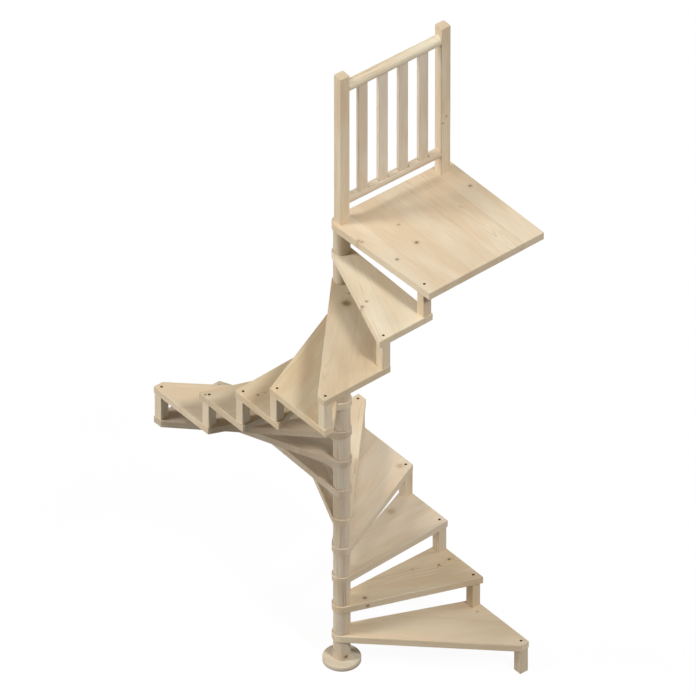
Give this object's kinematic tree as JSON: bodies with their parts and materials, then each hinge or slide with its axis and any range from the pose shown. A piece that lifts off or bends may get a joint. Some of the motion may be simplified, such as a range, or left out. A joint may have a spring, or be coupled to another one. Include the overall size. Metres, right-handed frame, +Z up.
{
  "type": "spiral staircase",
  "caption": "Square-plan wooden spiral staircase with winder treads on a centre column, outer posts, a square landing and a short balustrade.",
  "frame": {"origin": "centre of the base plate's underside, on the column axis, at floor level", "axes": "+Z up along the column; +X from the column to the landing's screw and post; +Y along the balustrade's side of the landing; the stair climbs anticlockwise seen from above"},
  "size_m": [1.351, 1.351, 3.7155],
  "materials": {
    "spruce_board": "raw, sanded, edge-glued boards",
    "spruce_turned": "raw, turned",
    "spruce_square": "raw, planed",
    "rod_steel": "zinc plated"
  },
  "bodies": {
    "root": {"base_plate": "spruce_turned", "spacer_01": "spruce_turned", "spacer_02": "spruce_turned", "spacer_03": "spruce_turned", "spacer_04": "spruce_turned", "spacer_05": "spruce_turned", "spacer_06": "spruce_turned", "spacer_07": "spruce_turned", "spacer_08": "spruce_turned", "spacer_09": "spruce_turned", "spacer_10": "spruce_turned", "spacer_11": "spruce_turned", "spacer_12": "spruce_turned", "spacer_13": "spruce_turned", "spacer_14": "spruce_turned", "spacer_15": "spruce_turned", "tread_01": "spruce_board", "tread_02": "spruce_board", "tread_03": "spruce_board", "tread_04": "spruce_board", "tread_05": "spruce_board", "tread_06": "spruce_board", "tread_07": "spruce_board", "tread_08": "spruce_board", "tread_09": "spruce_board", "tread_10": "spruce_board", "tread_11": "spruce_board", "tread_12": "spruce_board", "tread_13": "spruce_board", "tread_14": "spruce_board", "landing": "spruce_board", "posts_corner": "spruce_square", "posts_back": "spruce_square", "posts_left": "spruce_square", "posts_front": "spruce_square", "posts_right": "spruce_square", "centre_rod": "rod_steel", "newel_column": "spruce_square", "newel_outer": "spruce_square", "handrail": "spruce_turned", "bottom_rail": "spruce_turned", "balusters": "spruce_square"}
  },
  "joints": []
}
